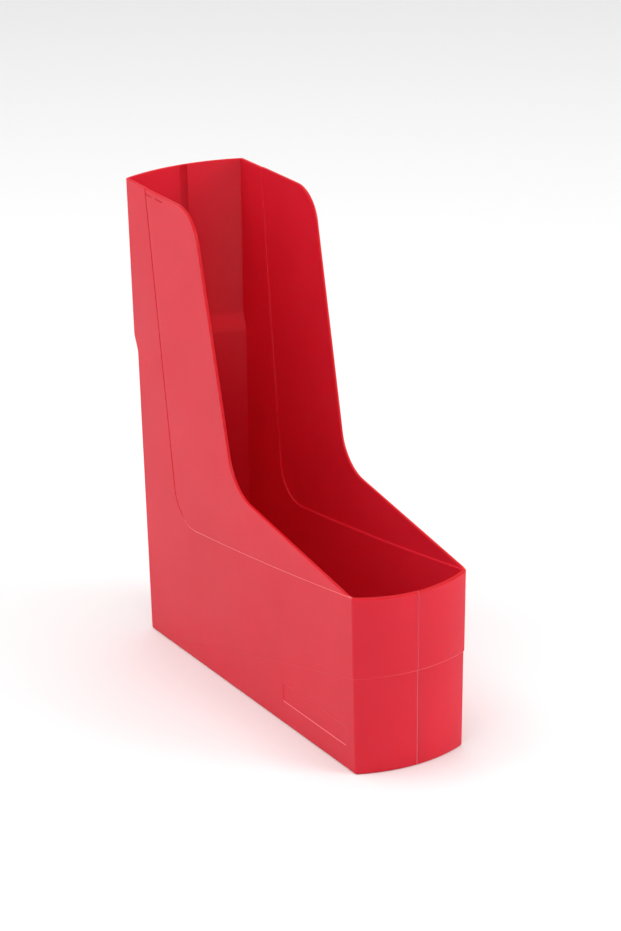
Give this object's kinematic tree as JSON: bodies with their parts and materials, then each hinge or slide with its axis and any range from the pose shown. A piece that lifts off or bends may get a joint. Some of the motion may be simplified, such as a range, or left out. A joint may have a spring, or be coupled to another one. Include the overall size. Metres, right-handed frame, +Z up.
{
  "type": "magazine file holder",
  "caption": "Upright open-topped file for magazines: tall sides cut away towards a low bowed front, made as two thin plastic half shells snapped together along the middle.",
  "frame": {"origin": "on the standing surface, under the middle of the overall width and depth", "axes": "+Z up, along the height; -Y towards the low front wall; X across the narrow width, with the left shell at -X"},
  "size_m": [0.0848, 0.2768, 0.3],
  "materials": {
    "red_plastic": "satin, slightly translucent red polypropylene"
  },
  "bodies": {
    "root": {"left_shell": "red_plastic", "right_shell": "red_plastic"}
  },
  "joints": []
}
